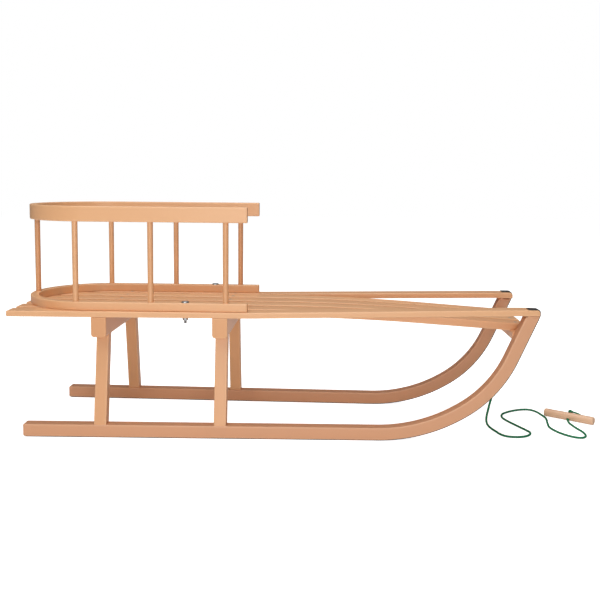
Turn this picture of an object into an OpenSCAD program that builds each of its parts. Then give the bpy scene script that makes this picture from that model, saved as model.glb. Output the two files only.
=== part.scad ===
// Wooden toboggan: two bent runners, four splayed legs, two crossbeams,
// a slatted seat, a horseshoe backrest on spindles and a pull rope.
// +X points forward, +Y to the rider's left, Z up; the floor is Z = 0.

/* [Overall] */
// Length from the slat ends at the back to the runner tips
length = 1100; // [1000:10:1200]
// Width over the runners and slats at the back
width = 340; // [320:5:380]
// How far each runner closes in towards the front
toe_in = 24; // [0:1:30]
// Height of the top of the seat
seat_height = 266; // [240:2:290]
// Height of the top of the backrest
back_height = 482; // [430:2:520]

/* [Runners] */
// Width of a runner
runner_w = 28; // [24:1:34]
// Depth of the bent wood of a runner
runner_t = 25.5; // [22:0.5:32]
// Thickness of the steel shoe
shoe_t = 1.8; // [1.5:0.1:3]
// Width of the steel shoe
shoe_w = 22; // [16:1:24]
// Radius of the first, slow part of the front bend
bend_r1 = 350; // [300:10:400]
// Radius of the second, quick part of the front bend
bend_r2 = 260; // [220:10:300]
// Angle where the slow bend becomes the quick one
bend_a1 = 33; // [28:1:38]
// Angle of the straight tip
bend_a2 = 66; // [60:1:70]

/* [Legs and beams] */
// Centre of the rear pair of legs
rear_x = -358; // [-400:2:-320]
// Centre of the front pair of legs
front_x = -108; // [-150:2:-60]
// Size of a leg along the sledge
leg_x = 26; // [22:1:30]
// Size of a leg across the sledge
leg_y = 23; // [18:1:26]
// Lean of a leg, its top nearer the middle
leg_lean = 9.5; // [5:0.5:12]
// Thickness of a crossbeam along the sledge
beam_x = 32; // [28:1:38]
// Depth of a crossbeam
beam_z = 42; // [34:1:50]

/* [Seat] */
// Width of a slat
slat_w = 40; // [34:1:44]
// Thickness of an outer slat
slat_t = 12; // [9:0.5:14]
// Thickness of an inner slat, let into the beams
inner_t = 16; // [14:0.5:20]
// Gap between two slats at the back
slat_gap = 20; // [14:1:24]
// How much the outer slats climb on their way to the tips
tip_rise = 11; // [0:0.5:14]
// Place along the sledge where the inner slats leave the level
dip_x = 0; // [-90:5:120]
// Radius of the bend that takes the inner slats down
dip_r = 4600; // [3000:100:5000]
// Slope of the inner slats at the nose, in degrees
dip_a = 3.9; // [3:0.1:5]

/* [Backrest] */
// Half the width over the backrest
back_half = 154; // [145:1:158]
// Front end of the backrest arms
arm_x = -52; // [-80:2:-30]
// Depth of the top rail
top_z = 32; // [26:1:38]
// Thickness of the top rail
top_w = 14; // [12:1:18]
// Depth of the bottom rail
low_z = 18; // [16:1:24]
// Thickness of the bottom rail
low_w = 18; // [14:1:22]
// Diameter of a spindle
spindle_d = 12; // [10:0.5:14]

/* [Rope] */
// Diameter of the rope
rope_d = 5; // [4:0.5:6]
// Length of the pull handle
handle_l = 114; // [90:2:130]
// Diameter of the pull handle
handle_d = 18; // [16:1:22]

/* [Hidden] */
$fn = 64;

LEFT = 1;
RIGHT = -1;
beech = "burlywood";
steel = "dimgray";
zinc = "silver";
rope_green = "darkgreen";

// Side frame: one runner, its shoe and its outer slat, turned in by the toe angle
back_x = -length / 2;
toe_a = asin(toe_in / length);
side_x = back_x + slat_w * sin(toe_a);
runner_start = 30;
runner_top = shoe_t + runner_t;
slat_under = seat_height - slat_t;
tip_under = slat_under + tip_rise;
quick_x = (bend_r1 - bend_r2) * sin(bend_a1);
quick_z = bend_r1 - (bend_r1 - bend_r2) * cos(bend_a1);
tip_x = (length / 2 - side_x) / cos(toe_a) - shoe_t;
tip_lift = tip_under - quick_z + (bend_r2 - shoe_t) * cos(bend_a2);
bend_x = tip_x - quick_x - (bend_r2 - shoe_t) * sin(bend_a2) - tip_lift / tan(bend_a2);
tip_top = tip_under + slat_t;
far = 10 * length;
// The shoe folds over the tip of the outer slat with this inside radius
fold_r = 5;
fold_run = 23;
shoe_start = runner_start + 4;

// Legs and beams
beam_under = slat_under - beam_z;
tenon_x = 16;
tenon_y = 12;
runner_tenon = 14;
beam_tenon = 26;
foot_inset = 2;

// Inner slats: pitch over the beams, and where their bend ends on their top face
slat_pitch = slat_w + slat_gap;
dip_end_x = dip_x + dip_r * sin(dip_a);
dip_end_z = seat_height - dip_r * (1 - cos(dip_a));
nose_x = 498;
nose_w = 28;
nose_z0 = 210;
nose_z1 = 229;
nose_tenon_w = 16;
nose_tenon_h = 10;
nose_tenon_l = 14;
nose_tenon_up = 4;
slat_front_x = nose_x + nose_w + 3;
fan = toe_in / length;

// Screws: countersunk heads sit flush
screw_d = 4;
screw_head = 8;
screw_sink = 2.5;
seat_screw_l = 34;
nose_screw_l = 28;
shoe_screw_l = 16;
shoe_screw_d = 3.5;
shoe_screw_head = 7;
shoe_screw_sink = 1.7;
shoe_screw_flat = [60, 220, 380, 540, 700];
shoe_screw_bend = [18, 48];
tip_screw_back = 14;
tip_screw_l = 24;
// The outer slats are screwed beside the backrest and clear of the leg tenons
seat_screw_aside = 12;

// Backrest
back_set_in = 3;
back_centre = back_x + back_set_in + back_half;
line_r = back_half - 8;
low_top = seat_height + low_z;
top_under = back_height - top_z;
spindle_side_x = [-410, -253, -97];
low_bore = 12;
top_bore = 14;

// Carriage bolts that hold the backrest down
bolt_d = 6;
bolt_head_d = 16.5;
bolt_head_h = 3.5;
bolt_square = 4;
bolt_l = 43;
bolt_left_x = -158;
bolt_right_x = -181;
washer_d = 16;
washer_t = 1.6;
nut_w = 10;
nut_t = 5;

// Pull handle: lies on the floor, its cross hole tilted up away from the sledge's right
handle_centre = [663, 20.5, handle_d / 2];
handle_yaw = -36.8;
handle_tilt = 37;
handle_bore = 7;

// Rope: out of the nose bar, down behind the right runner, over the floor, into the handle
floor_z = rope_d / 2;
rope_points = [
    [516, -92, 216], [516, -92, 206], [515, -93, 194], [510, -95, 178], [501, -98, 158],
    [485, -101, 132], [472, -101, 108], [463, -97, 78], [458, -91, 50], [457, -83, 33], [460, -73.5, 19], [466, -68, 9.5], [473.5, -70.5, 4],
    [479, -81, floor_z], [484, -98, floor_z], [494, -112, floor_z], [512, -117, floor_z],
    [531, -113, floor_z], [545, -101, floor_z], [551, -84, floor_z], [545, -64, floor_z],
    [531, -30, floor_z], [518, 5, floor_z], [514, 30, floor_z], [521, 54, floor_z],
    [541, 75, floor_z], [568, 91, floor_z], [590, 93, floor_z], [603, 78, floor_z],
    [609, 54, floor_z], [612.5, 25, floor_z], [607, -10, floor_z], [603, -42, floor_z],
    [610, -72, floor_z], [624, -97, floor_z], [641, -112, floor_z], [656, -112, floor_z],
    [665, -98, floor_z], [666, -74, floor_z], [660, -44, floor_z], [656, -14, floor_z],
    [656.8, 3, floor_z], [658.2, 12.6, 3.4]];
rope_sides = 8;
rope_split = 14;
// The rope's hole in the nose bar, with a wider seat for its knot under a slat
nose_bore = 7;
nose_seat_d = 14;
nose_knot_h = 8;
// Knots: one ball each, the stopper's above the handle with a short free end
knot_d = 13;
knot_up = 5;
knot_tail_l = 20;
knot_tail_turn = [0, 80, 20];

// ---------- helpers ----------

// One side of the sledge in its own frame: x along it, y = 0 on its outer face
module side_frame(side) {
    mirror([0, side == LEFT ? 0 : 1, 0])
        side_place() children();
}

module side_place() {
    translate([side_x, width / 2, 0]) rotate(-toe_a) children();
}

// Puts a child that stands in the sledge's frame into a side frame
module side_unplace() {
    rotate(toe_a) translate([-side_x, -width / 2, 0]) children();
}

// Turns a side profile (x, z) into a board reaching from y = -inset - w to y = -inset
module board(inset, w) {
    translate([0, -inset, 0]) rotate([90, 0, 0]) linear_extrude(w) children();
}

// All of the side view that lies more than t inside the runner's outer edge
module inside_edge(start, t) {
    translate([start, t]) square([bend_x - start, far]);
    intersection() {
        translate([bend_x, bend_r1]) circle(bend_r1 - t, $fn = 256);
        translate([bend_x, bend_r1]) rotate(bend_a1) translate([-far, -far]) square([far, 2 * far]);
    }
    translate([bend_x + quick_x, quick_z]) {
        circle(bend_r2 - t, $fn = 256);
        rotate(bend_a2) translate([0, t - bend_r2]) square(far);
    }
}

// All of the side view behind x1 and below z1, its corner eased in three flats
module rounded_end(x1, z1, r) {
    translate([-far, -far]) square([far + x1 - r, far + z1]);
    translate([-far, -far]) square([far + x1, far + z1 - r]);
    translate([x1 - r, z1 - r]) circle(r, $fn = 12);
}

// Places a child on the runner's outer edge at an angle of the bend, z pointing in
module at_bend(a) {
    c = a < bend_a1 ? [0, bend_r1] : [quick_x, quick_z];
    r = a < bend_a1 ? bend_r1 : bend_r2;
    translate([bend_x + c[0] + r * sin(a), -runner_w / 2, c[1] - r * cos(a)])
        rotate([0, -a, 0]) children();
}

// Countersunk screw, head flush with z = 0, pointing to -z
module csk_screw(d, head, sink, l) {
    translate([0, 0, -l]) cylinder(h = l - sink, d = d);
    translate([0, 0, -sink]) cylinder(h = sink, d1 = d, d2 = head);
}

// ---------- runners ----------

module runner(side) {
    color(beech) side_frame(side) difference() {
        board(0, runner_w) intersection() {
            difference() {
                inside_edge(runner_start, shoe_t);
                inside_edge(0, runner_top);
            }
            square([far, tip_under]);
        }
        shoe_screw_set();
        side_unplace() {
            leg_tenons(rear_x);
            leg_tenons(front_x);
            nose_tenon();
        }
    }
}

module shoe(side) {
    color(steel) side_frame(side) difference() {
        board((runner_w - shoe_w) / 2, shoe_w) shoe_profile();
        shoe_screw_set();
    }
}

// The strip along the runner and round the tip of the outer slat
module shoe_profile() {
    difference() {
        intersection() {
            inside_edge(shoe_start, 0);
            rounded_end(tip_x + shoe_t, tip_top + shoe_t, fold_r + shoe_t);
        }
        intersection() {
            inside_edge(0, shoe_t);
            rounded_end(tip_x, tip_top, fold_r);
        }
        translate([0, tip_top - 1]) square([tip_x - fold_run, far]);
    }
}

module shoe_screw_set() {
    for (x = shoe_screw_flat) translate([x, -runner_w / 2, 0]) rotate([180, 0, 0]) shoe_screw();
    for (a = shoe_screw_bend) at_bend(a) rotate([180, 0, 0]) shoe_screw();
    translate([tip_x - tip_screw_back, -runner_w / 2, tip_top + shoe_t]) shoe_screw(tip_screw_l);
}

module shoe_screw(l = shoe_screw_l) {
    csk_screw(shoe_screw_d, shoe_screw_head, shoe_screw_sink, l);
}

module shoe_screws(side) {
    color(zinc) side_frame(side) shoe_screw_set();
}

// ---------- legs and beams ----------

// Outer face of the runner at a place along the sledge
function outer_y(x) = width / 2 - (x - side_x) * tan(toe_a);

// A bar along a leg's leaning axis, its foot on the runner's middle line
module leg_bar(x, sx, sy) {
    translate([x, outer_y(x) - foot_inset - leg_y / 2, runner_top]) rotate([leg_lean, 0, 0])
        translate([-sx / 2, -sy / 2, -far / 2]) cube([sx, sy, far]);
}

module slab(z0, z1) {
    translate([-far / 2, -far / 2, z0]) cube([far, far, z1 - z0]);
}

module leg_shape(x) {
    intersection() {
        leg_bar(x, leg_x, leg_y);
        slab(runner_top, beam_under);
    }
    leg_tenons(x);
}

module leg_tenons(x) {
    intersection() {
        leg_bar(x, tenon_x, tenon_y);
        slab(runner_top - runner_tenon, beam_under + beam_tenon);
    }
}

module leg(side, x) {
    color(beech) mirror([0, side == LEFT ? 0 : 1, 0]) leg_shape(x);
}

module beam(x) {
    half = outer_y(x);
    color(beech) difference() {
        translate([x - beam_x / 2, -half, beam_under]) cube([beam_x, 2 * half, beam_z]);
        for (side = [0, 1]) mirror([0, side, 0]) leg_tenons(x);
        for (i = [1 : 4]) inner_slat_shape(i);
        seat_screw_set(x);
    }
}

// The nose bar between the runners, and its tenon in the left one
module nose_body() {
    intersection() {
        translate([nose_x, -width / 2, nose_z0]) cube([nose_w, width, nose_z1 - nose_z0]);
        for (side = [0, 1]) mirror([0, side, 0]) side_place()
            translate([0, -runner_w - width / 2, 0]) cube([length, width / 2, seat_height]);
    }
}

module nose_tenon() {
    shoulder = outer_y(nose_x + nose_w / 2) - runner_w;
    translate([nose_x + (nose_w - nose_tenon_w) / 2, shoulder - nose_tenon_l / 2, nose_z0 + nose_tenon_up])
        cube([nose_tenon_w, nose_tenon_l * 1.5, nose_tenon_h]);
}

module nose_bar() {
    color(beech) difference() {
        union() {
            nose_body();
            for (side = [0, 1]) mirror([0, side, 0]) nose_tenon();
        }
        for (i = [1 : 4]) inner_slat_shape(i);
        nose_screw_set();
        translate(hitch_start) {
            translate([0, 0, -nose_z0]) cylinder(h = nose_z0 + 1, d = nose_bore);
            cylinder(h = seat_height, d = nose_seat_d);
        }
    }
}

// ---------- seat ----------

// Outer slat in its runner's frame, from the back to its rounded tip
module outer_slat_profile() {
    rise_x = (arm_x - side_x) / cos(toe_a);
    level_x = tip_x - fold_run - 20;
    intersection() {
        polygon([[0, slat_under], [rise_x, slat_under], [level_x, tip_under], [length, tip_under],
            [length, tip_top], [level_x, tip_top], [rise_x, seat_height], [0, seat_height]]);
        rounded_end(tip_x, tip_top, fold_r);
    }
}

module outer_slat(side) {
    bolt_x = side == LEFT ? bolt_left_x : bolt_right_x;
    color(beech) difference() {
        side_frame(side) difference() {
            board(0, slat_w) outer_slat_profile();
            shoe_screw_set();
        }
        for (x = [rear_x, front_x]) seat_screw_set(x);
        translate([bolt_x, side * line_r, 0]) cylinder(h = 2 * seat_height, d = bolt_d);
    }
}

// Inner slats 1 to 4 run from left to right; they fan in with the runners
function slat_y(i) = (2.5 - i) * slat_pitch;
function slat_fan(i) = slat_y(i) * fan / (width / 2);

module inner_slat_profile() {
    intersection() {
        difference() {
            below_slat(0);
            below_slat(-inner_t);
        }
        translate([back_x, 0]) square([slat_front_x - back_x, seat_height]);
    }
}

// All of the side view below the curve of an inner slat's top, raised by t
module below_slat(t) {
    translate([-far, -far]) square([far + dip_x, far + seat_height + t]);
    translate([dip_x, seat_height - dip_r]) {
        circle(dip_r + t, $fn = 720);
        rotate(-dip_a) translate([0, -far]) square([far, far + dip_r + t]);
    }
}

module inner_slat_shape(i) {
    corner = abs(slat_fan(i)) * slat_w / 2;
    translate([rear_x, slat_y(i), 0]) rotate(-atan(slat_fan(i)))
        translate([corner - rear_x, slat_w / 2, 0]) board(0, slat_w) inner_slat_profile();
}

module inner_slat(i) {
    color(beech) difference() {
        inner_slat_shape(i);
        for (x = [rear_x, front_x]) seat_screw_set(x);
        nose_screw_set();
    }
}

// Centre line of slat i at a place along the sledge; 0 and 5 are the outer ones
function slat_line(i, x) =
    i == 0 ? outer_y(x) - slat_w / 2 :
    i == 5 ? slat_w / 2 - outer_y(x) :
    slat_y(i) - slat_fan(i) * (x - rear_x);

module seat_screw_set(x) {
    for (i = [0 : 5]) translate([x, slat_line(i, x) + seat_screw_shift(i), seat_height])
        csk_screw(screw_d, screw_head, screw_sink, seat_screw_l);
}

function seat_screw_shift(i) = i == 0 ? -seat_screw_aside : i == 5 ? seat_screw_aside : 0;

module seat_screws(x) {
    color(zinc) seat_screw_set(x);
}

module nose_screw_set() {
    x = nose_x + nose_w / 2;
    z = dip_end_z - (x - dip_end_x) * tan(dip_a);
    for (i = [1 : 4]) translate([x, slat_line(i, x), z]) rotate([0, dip_a, 0])
        csk_screw(screw_d, screw_head, screw_sink, nose_screw_l);
}

module nose_screws() {
    color(zinc) nose_screw_set();
}

// ---------- backrest ----------

// Plan of a horseshoe rail whose middle line is line_r from the centre line
module rail_plan(w) {
    translate([back_centre, 0]) difference() {
        union() {
            circle(line_r + w / 2, $fn = 180);
            translate([0, -line_r - w / 2]) square([arm_x - back_centre, 2 * line_r + w]);
        }
        circle(line_r - w / 2, $fn = 180);
        translate([0, -line_r + w / 2]) square([far, 2 * line_r - w]);
    }
}

module spindle_places() {
    for (i = [1 : 7]) translate(spindle_place(i)) children();
}

// Spindles 1 to 3 on the left arm from front to back, 4 at the back, 5 to 7 on the right
function spindle_place(i) =
    i == 4 ? [back_centre - line_r, 0, 0] :
    i < 4 ? [spindle_side_x[3 - i], side_line(spindle_side_x[3 - i]), 0] :
    [spindle_side_x[i - 5], -side_line(spindle_side_x[i - 5]), 0];

function side_line(x) =
    x > back_centre ? line_r : sqrt(line_r * line_r - (x - back_centre) * (x - back_centre));

module spindle_shape() {
    translate([0, 0, low_top - low_bore])
        cylinder(h = top_under + top_bore - low_top + low_bore, d = spindle_d);
}

module bottom_rail() {
    color(beech) difference() {
        translate([0, 0, seat_height]) linear_extrude(low_z) rail_plan(low_w);
        spindle_places() spindle_shape();
        translate([bolt_left_x, line_r, 0]) bolt_shape();
        translate([bolt_right_x, -line_r, 0]) bolt_shape();
    }
}

module top_rail() {
    color(beech) difference() {
        translate([0, 0, top_under]) linear_extrude(top_z) rail_plan(top_w);
        spindle_places() spindle_shape();
    }
}

module spindle(i) {
    color(beech) translate(spindle_place(i)) spindle_shape();
}

// Carriage bolt: domed head, square neck, plain shank
module bolt_shape() {
    dome_r = (bolt_head_h * bolt_head_h + bolt_head_d * bolt_head_d / 4) / (2 * bolt_head_h);
    translate([0, 0, low_top]) intersection() {
        translate([0, 0, bolt_head_h - dome_r]) sphere(dome_r);
        cylinder(h = bolt_head_h, d = bolt_head_d + 1);
    }
    translate([-bolt_d / 2, -bolt_d / 2, low_top - bolt_square]) cube([bolt_d, bolt_d, bolt_square]);
    translate([0, 0, low_top - bolt_l]) cylinder(h = bolt_l, d = bolt_d);
}

module bolt(side) {
    color(zinc) translate([side == LEFT ? bolt_left_x : bolt_right_x, side * line_r, 0]) bolt_shape();
}

module ring(side, z, t) {
    translate([side == LEFT ? bolt_left_x : bolt_right_x, side * line_r, z - t]) difference() {
        linear_extrude(t) children();
        translate([0, 0, -1]) cylinder(h = t + 2, d = bolt_d);
    }
}

module washer(side) {
    color(zinc) ring(side, slat_under, washer_t) circle(d = washer_d);
}

module nut(side) {
    color(zinc) ring(side, slat_under - washer_t, nut_t) circle(d = nut_w / cos(30), $fn = 6);
}

// ---------- rope ----------

// A point of a smooth curve through p0..p3, t from p1 to p2
function blend(p0, p1, p2, p3, t) =
    0.5 * (2 * p1 + (p2 - p0) * t + (2 * p0 - 5 * p1 + 4 * p2 - p3) * t * t
        + (3 * p1 - p0 - 3 * p2 + p3) * t * t * t);

function unit(v) = v / norm(v);

// Axis of the handle's cross hole, and the rope's last three points inside it
bore_axis = [-sin(handle_yaw) * cos(handle_tilt), cos(handle_yaw) * cos(handle_tilt), sin(handle_tilt)];
knot_seat = handle_d / 2 - 1;
rope_end = handle_centre + bore_axis * knot_seat;
bore_entry = -4.4;
bore_middle = 2;
rope_route = concat(rope_points,
    [handle_centre + bore_axis * bore_entry, handle_centre + bore_axis * bore_middle, rope_end]);
function route_at(i) =
    i < 0 ? 2 * rope_route[0] - rope_route[1] :
    i >= len(rope_route) ? rope_end + bore_axis * rope_d : rope_route[i];
// Long stretches of the route are split once more than short ones
function splits(i) = norm(route_at(i + 1) - route_at(i)) > rope_split ? 2 : 1;
rope_line = concat(
    [for (i = [0 : len(rope_route) - 2]) for (k = [0 : splits(i) - 1])
        blend(route_at(i - 1), route_at(i), route_at(i + 1), route_at(i + 2), k / splits(i))],
    [rope_end]);

// Cross-section of the tube at each point of the line
function ring_dir(i) =
    i == 0 ? unit(rope_line[1] - rope_line[0]) :
    i == len(rope_line) - 1 ? bore_axis : unit(rope_line[i + 1] - rope_line[i - 1]);
function ring_side(d) = unit(cross(d, abs(d[2]) > 0.9 ? [0, 1, 0] : [0, 0, 1]));
function ring_points(i) =
    let (d = ring_dir(i), u = ring_side(d), v = cross(u, d))
    [for (k = [0 : rope_sides - 1]) let (a = 360 * (k + 0.5) / rope_sides)
        rope_line[i] + rope_d / 2 * (cos(a) * u + sin(a) * v)];

module rope() {
    n = len(rope_line);
    m = rope_sides;
    points = [for (i = [0 : n - 1]) each ring_points(i)];
    sides = [for (i = [0 : n - 2]) for (k = [0 : m - 1])
        [i * m + k, i * m + (k + 1) % m, (i + 1) * m + (k + 1) % m, (i + 1) * m + k]];
    caps = [[for (k = [m - 1 : -1 : 0]) k], [for (k = [0 : m - 1]) (n - 1) * m + k]];
    color(rope_green) polyhedron(points, concat(sides, caps));
}

hitch_start = rope_points[0];

// Knot that holds the rope in its seat in the nose bar
module hitch() {
    color(rope_green) translate(hitch_start) intersection() {
        translate([0, 0, nose_knot_h / 2]) sphere(d = knot_d, $fn = 48);
        cylinder(h = nose_knot_h, d = nose_seat_d);
    }
}

module in_handle() {
    translate(handle_centre) rotate([0, 0, handle_yaw]) children();
}

// Along the handle's cross hole, z from the handle's middle
module in_bore(z) {
    in_handle() rotate([handle_tilt - 90, 0, 0]) translate([0, 0, z]) children();
}

module handle_body() {
    in_handle() translate([-handle_l / 2, 0, 0]) rotate([0, 90, 0]) cylinder(h = handle_l, d = handle_d);
}

module handle() {
    color(beech) difference() {
        handle_body();
        in_bore(-handle_d) cylinder(h = 2 * handle_d, d = handle_bore);
    }
}

// Stopper knot with a short free end
module stopper_knot() {
    color(rope_green) difference() {
        in_bore(knot_seat + knot_up) {
            sphere(d = knot_d, $fn = 48);
            rotate(knot_tail_turn) cylinder(h = knot_tail_l, d = rope_d, $fn = 32);
        }
        handle_body();
        in_bore(knot_seat - handle_d) cylinder(h = handle_d, d = handle_d);
    }
}

runner(LEFT);  // runner_left
runner(RIGHT);  // runner_right
shoe(LEFT);  // runner_shoe_left
shoe(RIGHT);  // runner_shoe_right
shoe_screws(LEFT);  // shoe_screws_left
shoe_screws(RIGHT);  // shoe_screws_right
leg(LEFT, rear_x);  // rear_leg_left
leg(RIGHT, rear_x);  // rear_leg_right
leg(LEFT, front_x);  // front_leg_left
leg(RIGHT, front_x);  // front_leg_right
beam(rear_x);  // rear_crossbeam
beam(front_x);  // front_crossbeam
nose_bar();
outer_slat(LEFT);  // outer_slat_left
outer_slat(RIGHT);  // outer_slat_right
inner_slat(1);  // inner_slat_1
inner_slat(2);  // inner_slat_2
inner_slat(3);  // inner_slat_3
inner_slat(4);  // inner_slat_4
seat_screws(rear_x);  // seat_screws_rear
seat_screws(front_x);  // seat_screws_front
nose_screws();
bottom_rail();  // backrest_bottom_rail
top_rail();  // backrest_top_rail
spindle(1);  // spindle_1
spindle(2);  // spindle_2
spindle(3);  // spindle_3
spindle(4);  // spindle_4
spindle(5);  // spindle_5
spindle(6);  // spindle_6
spindle(7);  // spindle_7
bolt(LEFT);  // backrest_bolt_left
bolt(RIGHT);  // backrest_bolt_right
washer(LEFT);  // bolt_washer_left
washer(RIGHT);  // bolt_washer_right
nut(LEFT);  // bolt_nut_left
nut(RIGHT);  // bolt_nut_right
rope();  // pull_rope
hitch();  // rope_hitch
stopper_knot();  // rope_knot
handle();  // pull_handle
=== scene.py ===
"""The looks of the wooden toboggan: beech boards, bent runners, dark steel shoes, zinc fasteners
and a braided rope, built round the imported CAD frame. Lengths are in millimetres until a mesh is made."""

import math
import random

import bmesh
import bpy
from mathutils import Matrix, Vector


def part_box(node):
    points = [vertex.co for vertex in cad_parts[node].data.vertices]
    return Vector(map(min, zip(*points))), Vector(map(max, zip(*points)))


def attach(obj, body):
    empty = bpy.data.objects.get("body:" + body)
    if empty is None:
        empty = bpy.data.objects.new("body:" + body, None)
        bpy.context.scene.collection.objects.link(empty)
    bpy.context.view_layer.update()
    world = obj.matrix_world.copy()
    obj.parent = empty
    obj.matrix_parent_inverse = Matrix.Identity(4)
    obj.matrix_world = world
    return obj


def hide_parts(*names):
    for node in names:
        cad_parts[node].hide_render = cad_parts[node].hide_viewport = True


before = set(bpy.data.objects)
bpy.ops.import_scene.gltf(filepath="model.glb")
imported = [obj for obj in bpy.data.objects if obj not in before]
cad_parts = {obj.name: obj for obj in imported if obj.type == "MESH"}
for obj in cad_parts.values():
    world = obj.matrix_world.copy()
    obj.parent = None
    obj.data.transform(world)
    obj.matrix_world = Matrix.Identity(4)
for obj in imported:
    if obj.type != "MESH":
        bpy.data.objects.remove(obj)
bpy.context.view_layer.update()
MM = 0.001

# ------------------------------------------------------------------ camera

SENSOR = 36
LENS = 49.71
# The picture was cut lower than the lens looked, by this part of its height
FRAME_DROP = 0.0775
NEAR, FAR = 0.05, 60
EYE = Vector((112.6, -1834.6, 547.9))
YAW, PITCH, ROLL = (math.radians(a) for a in (1.927, 5.38, 0.463))


def make_camera():
    data = bpy.data.cameras.new("camera")
    data.sensor_width = SENSOR
    data.lens = LENS
    data.shift_y = -FRAME_DROP
    data.clip_start, data.clip_end = NEAR, FAR
    camera = bpy.data.objects.new("camera", data)
    forward = Vector((-math.sin(YAW) * math.cos(PITCH), math.cos(YAW) * math.cos(PITCH), -math.sin(PITCH)))
    level = Vector((math.cos(YAW), math.sin(YAW), 0))
    up = level.cross(forward)
    right = level * math.cos(ROLL) + up * math.sin(ROLL)
    top = up * math.cos(ROLL) - level * math.sin(ROLL)
    camera.matrix_world = Matrix((right, top, -forward)).transposed().to_4x4()
    camera.location = EYE * MM
    bpy.context.scene.collection.objects.link(camera)
    bpy.context.scene.camera = camera


make_camera()

# ------------------------------------------------------------------ the sizes of the frame


def low(node):
    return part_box(node)[0] / MM


def high(node):
    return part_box(node)[1] / MM


def middle(node):
    return (low(node) + high(node)) / 2


BACK_X = low("outer_slat_left").x
HALF_WIDTH = high("outer_slat_left").y
FRONT_X = high("runner_shoe_left").x
LENGTH = FRONT_X - BACK_X
# The sizes that no box of the frame gives are those of the CAD model, in millimetres
TOE_IN = 24
TOE = math.asin(TOE_IN / LENGTH)
SLAT_W, SLAT_T, INNER_T = 40, 12, 16
SLAT_PITCH = 60
LOW_Z, LOW_W = 18, 18
TIP_RISE = 11
SIDE_X = BACK_X + SLAT_W * math.sin(TOE)
SEAT_TOP = low("backrest_bottom_rail").z
SEAT_UNDER = SEAT_TOP - SLAT_T

# The runner's outer edge: flat, a slow bend, a quick bend and a straight tip
SHOE_T, SHOE_W = 1.8, 22
RUNNER_W, RUNNER_T = 28, 25.5
RUNNER_START = 30
TIP_UNDER = SEAT_UNDER + TIP_RISE
TIP_TOP = TIP_UNDER + SLAT_T
BEND_R1, BEND_R2 = 350, 260
BEND_A1, BEND_A2 = math.radians(33), math.radians(66)
QUICK_X = (BEND_R1 - BEND_R2) * math.sin(BEND_A1)
QUICK_Z = BEND_R1 - (BEND_R1 - BEND_R2) * math.cos(BEND_A1)
TIP_X = (FRONT_X - SIDE_X) / math.cos(TOE) - SHOE_T
BEND_X = (TIP_X - QUICK_X - (BEND_R2 - SHOE_T) * math.sin(BEND_A2)
          - (TIP_UNDER - QUICK_Z + (BEND_R2 - SHOE_T) * math.cos(BEND_A2)) / math.tan(BEND_A2))

SIDES = {"left": 1, "right": -1}


def on_side(side, x, inset, z):
    """A point of the side frame: x along the runner, inset from its outer face."""
    return Vector((SIDE_X + x * math.cos(TOE) - inset * math.sin(TOE),
                   side * (HALF_WIDTH - x * math.sin(TOE) - inset * math.cos(TOE)), z))


def off_side(side, p):
    """The other way: x, inset and z of a point of the row frame."""
    x, y = p.x - SIDE_X, side * p.y - HALF_WIDTH
    return (x * math.cos(TOE) - y * math.sin(TOE), -x * math.sin(TOE) - y * math.cos(TOE), p.z)


def outer_y(x):
    return HALF_WIDTH - (x - SIDE_X) * math.tan(TOE)


def runner_edge(s):
    """Place and direction (x, z) of the runner's outer edge, s along it from the side frame's start."""
    s1 = BEND_X
    s2 = s1 + BEND_R1 * BEND_A1
    s3 = s2 + BEND_R2 * (BEND_A2 - BEND_A1)
    if s < s1:
        return s, 0.0, 0.0
    if s < s2:
        a = (s - s1) / BEND_R1
        return BEND_X + BEND_R1 * math.sin(a), BEND_R1 * (1 - math.cos(a)), a
    a = min(BEND_A1 + (s - s2) / BEND_R2, BEND_A2)
    x, z = BEND_X + QUICK_X + BEND_R2 * math.sin(a), QUICK_Z - BEND_R2 * math.cos(a)
    rest = max(s - s3, 0)
    return x + rest * math.cos(a), z + rest * math.sin(a), a


def off_runner_edge(x, z):
    """How far along the runner's outer edge a point of the side view is, and how deep inside it."""
    if x < BEND_X:
        return x, z
    a = math.atan2(x - BEND_X, BEND_R1 - z)
    if a < BEND_A1:
        return BEND_X + a * BEND_R1, BEND_R1 - math.hypot(x - BEND_X, z - BEND_R1)
    dx, dz = x - BEND_X - QUICK_X, z - QUICK_Z
    a = math.atan2(dx, -dz)
    s = BEND_X + BEND_R1 * BEND_A1
    if a < BEND_A2:
        return s + BEND_R2 * (a - BEND_A1), BEND_R2 - math.hypot(dx, dz)
    along = dx * math.cos(BEND_A2) + dz * math.sin(BEND_A2)
    deep = BEND_R2 - (dx * math.sin(BEND_A2) - dz * math.cos(BEND_A2))
    return s + BEND_R2 * (BEND_A2 - BEND_A1) + along, deep


# ------------------------------------------------------------------ node materials


def add(tree, kind, inputs=(), **settings):
    node = tree.nodes.new("ShaderNode" + kind)
    for key, value in settings.items():
        setattr(node, key, value)
    for key, value in dict(inputs).items():
        if isinstance(value, bpy.types.NodeSocket):
            tree.links.new(value, node.inputs[key])
        else:
            node.inputs[key].default_value = value
    return node


def calc(tree, operation, *values, clamp=False):
    return add(tree, "Math", dict(enumerate(values)), operation=operation, use_clamp=clamp).outputs[0]


def stretched(tree, vector, scale):
    return add(tree, "Mapping", {"Vector": vector, "Scale": scale}).outputs[0]


def noise(tree, vector, scale, detail=2.0, roughness=0.5):
    """Noise between about 0.25 and 0.75, its cells 1/scale long in each direction."""
    return add(tree, "TexNoise", {"Vector": stretched(tree, vector, scale), "Scale": 1.0,
                                  "Detail": detail, "Roughness": roughness}).outputs[0]


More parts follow.
